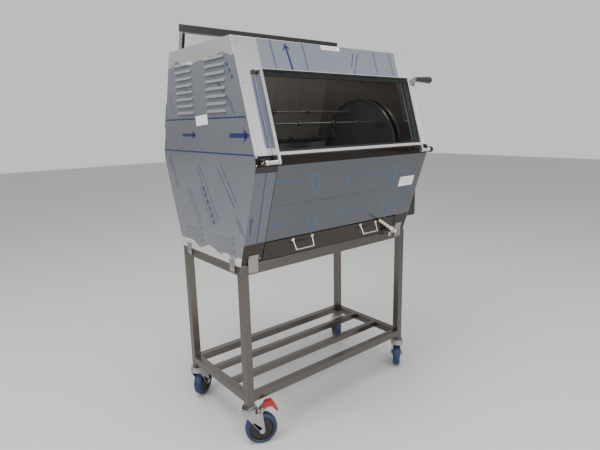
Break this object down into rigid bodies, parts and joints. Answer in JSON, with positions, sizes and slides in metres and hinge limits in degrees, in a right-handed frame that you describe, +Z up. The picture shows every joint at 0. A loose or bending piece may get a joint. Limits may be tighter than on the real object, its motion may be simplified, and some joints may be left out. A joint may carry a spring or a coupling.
{
  "type": "rotisserie oven on a castor stand",
  "caption": "Stainless rotisserie oven of hexagonal profile with a drop-down glass door, inner rotor and drip tray, on a tube stand with braked swivel castors.",
  "frame": {"origin": "on the floor, under the centre of the stand and of the rotor shaft", "axes": "+Z up, -Y out of the glass door, +X to the right for someone facing the door, along the rotor shaft"},
  "size_m": [1.0327, 0.7169, 1.5924],
  "materials": {
    "bare_steel": "satin bare stainless steel",
    "black_paint": "black powder coat",
    "black_plastic": "black moulded plastic",
    "cream_plastic": "cream plastic sleeve",
    "film_steel": "stainless steel under protective film",
    "glass": "clear toughened glass",
    "heater_metal": "oxidised element sheath",
    "inner_steel": "plain stainless steel liner",
    "lamp_glass": "frosted lamp glass",
    "motor_grey": "grey painted motor",
    "polished_steel": "polished stainless steel",
    "red_plastic": "red nylon",
    "rotor_steel": "plain steel, a little dull",
    "seal_black": "black silicone",
    "stand_steel": "brushed stainless tube",
    "tyre_blue": "blue elastic rubber",
    "zinc": "bright zinc plate"
  },
  "bodies": {
    "cabinet": {"stand_legs": "stand_steel", "top_rails": "stand_steel", "shelf_side_bars": "stand_steel", "shelf_bars": "stand_steel", "locating_tabs": "bare_steel", "screws": "zinc", "castor_heads": "zinc", "left_side_panel": "film_steel", "right_side_panel": "film_steel", "roof_panel": "bare_steel", "base_pan": "bare_steel", "front_fascia": "film_steel", "front_left_post": "polished_steel", "front_right_post": "polished_steel", "front_band": "polished_steel", "front_lower_panel": "film_steel", "front_corner_plates": "bare_steel", "rear_panels": "bare_steel", "rear_upstand": "bare_steel", "upstand_cap": "black_paint", "rear_buffers": "seal_black", "hinge_brackets": "polished_steel", "hinge_pins": "polished_steel", "door_catch": "seal_black", "chamber_end_walls": "inner_steel", "ceiling_liner": "inner_steel", "heating_elements": "heater_metal", "chamber_liners": "inner_steel", "chamber_lamp": "lamp_glass", "shaft_bearings": "rotor_steel", "gear_motor": "motor_grey", "tray_runners": "inner_steel", "control_box": "black_paint", "cable_gland": "black_plastic"},
    "door": {"door_frame": "polished_steel", "door_glass": "glass", "door_seal": "seal_black", "door_handle_arm": "polished_steel", "door_handle_grip": "black_plastic"},
    "rotor": {"rotor_shaft": "rotor_steel", "rotor_disc_left": "rotor_steel", "rotor_disc_right": "rotor_steel", "spits": "rotor_steel"},
    "tray": {"drip_tray": "bare_steel", "tray_handles": "polished_steel", "drain_valve": "zinc"},
    "drain_lever": {"drain_valve_lever": "cream_plastic"},
    "thermostat": {"thermostat_knob": "black_plastic"},
    "timer": {"timer_knob": "black_plastic"},
    "switch": {"rotor_switch": "black_plastic"},
    "front_left_fork": {"castor_fl_fork": "zinc"},
    "front_left_wheel": {"castor_fl_wheel": "tyre_blue"},
    "front_left_brake": {"castor_fl_pedal": "red_plastic"},
    "front_right_fork": {"castor_fr_fork": "zinc"},
    "front_right_wheel": {"castor_fr_wheel": "tyre_blue"},
    "front_right_brake": {"castor_fr_pedal": "red_plastic"},
    "rear_left_fork": {"castor_rl_fork": "zinc"},
    "rear_left_wheel": {"castor_rl_wheel": "tyre_blue"},
    "rear_right_fork": {"castor_rr_fork": "zinc"},
    "rear_right_wheel": {"castor_rr_wheel": "tyre_blue"}
  },
  "joints": [
    {"name": "door_hinge", "type": "hinge", "parent": "cabinet", "child": "door", "pos_m": [0, -0.36597, 1.08604], "axis": [1, 0, 0], "range_deg": [0, 105]},
    {"name": "rotor_spin", "type": "hinge", "parent": "cabinet", "child": "rotor", "pos_m": [0, 0, 1.09], "axis": [1, 0, 0], "continuous": true},
    {"name": "tray_slide", "type": "slide", "parent": "cabinet", "child": "tray", "axis": [0, -1, 0], "range_m": [0, 0.34]},
    {"name": "drain_lever_turn", "type": "hinge", "parent": "tray", "child": "drain_lever", "pos_m": [0.32, -0.262, 0.732], "axis": [0, -1, 0], "range_deg": [0, 90]},
    {"name": "thermostat_turn", "type": "hinge", "parent": "cabinet", "child": "thermostat", "pos_m": [0.541, -0.155, 0.826], "axis": [1, 0, 0], "range_deg": [-270, 0]},
    {"name": "timer_turn", "type": "hinge", "parent": "cabinet", "child": "timer", "pos_m": [0.541, -0.085, 0.826], "axis": [1, 0, 0], "range_deg": [-300, 0]},
    {"name": "switch_rock", "type": "hinge", "parent": "cabinet", "child": "switch", "pos_m": [0.537, -0.02, 0.826], "axis": [0, -1, 0], "range_deg": [0, 15]},
    {"name": "front_left_swivel", "type": "hinge", "parent": "cabinet", "child": "front_left_fork", "pos_m": [-0.435, -0.21, 0.153], "axis": [0, 0, 1], "continuous": true},
    {"name": "front_left_roll", "type": "hinge", "parent": "front_left_fork", "child": "front_left_wheel", "pos_m": [-0.39693, -0.22775, 0.0625], "axis": [0.4226, 0.9063, 0], "continuous": true},
    {"name": "front_left_brake_press", "type": "hinge", "parent": "front_left_fork", "child": "front_left_brake", "pos_m": [-0.38787, -0.23198, 0.142], "axis": [0.4226, 0.9063, 0], "range_deg": [0, 18]},
    {"name": "front_right_swivel", "type": "hinge", "parent": "cabinet", "child": "front_right_fork", "pos_m": [0.435, -0.21, 0.153], "axis": [0, 0, 1], "continuous": true},
    {"name": "front_right_roll", "type": "hinge", "parent": "front_right_fork", "child": "front_right_wheel", "pos_m": [0.4681, -0.18414, 0.0625], "axis": [-0.6157, 0.788, 0], "continuous": true},
    {"name": "front_right_brake_press", "type": "hinge", "parent": "front_right_fork", "child": "front_right_brake", "pos_m": [0.47598, -0.17799, 0.142], "axis": [-0.6157, 0.788, 0], "range_deg": [0, 18]},
    {"name": "rear_left_swivel", "type": "hinge", "parent": "cabinet", "child": "rear_left_fork", "pos_m": [-0.435, 0.21, 0.153], "axis": [0, 0, 1], "continuous": true},
    {"name": "rear_left_roll", "type": "hinge", "parent": "rear_left_fork", "child": "rear_left_wheel", "pos_m": [-0.40018, 0.23349, 0.0625], "axis": [-0.5592, 0.829, 0], "continuous": true},
    {"name": "rear_right_swivel", "type": "hinge", "parent": "cabinet", "child": "rear_right_fork", "pos_m": [0.435, 0.21, 0.153], "axis": [0, 0, 1], "continuous": true},
    {"name": "rear_right_roll", "type": "hinge", "parent": "rear_right_fork", "child": "rear_right_wheel", "pos_m": [0.456, 0.24637, 0.0625], "axis": [-0.866, 0.5, 0], "continuous": true}
  ]
}
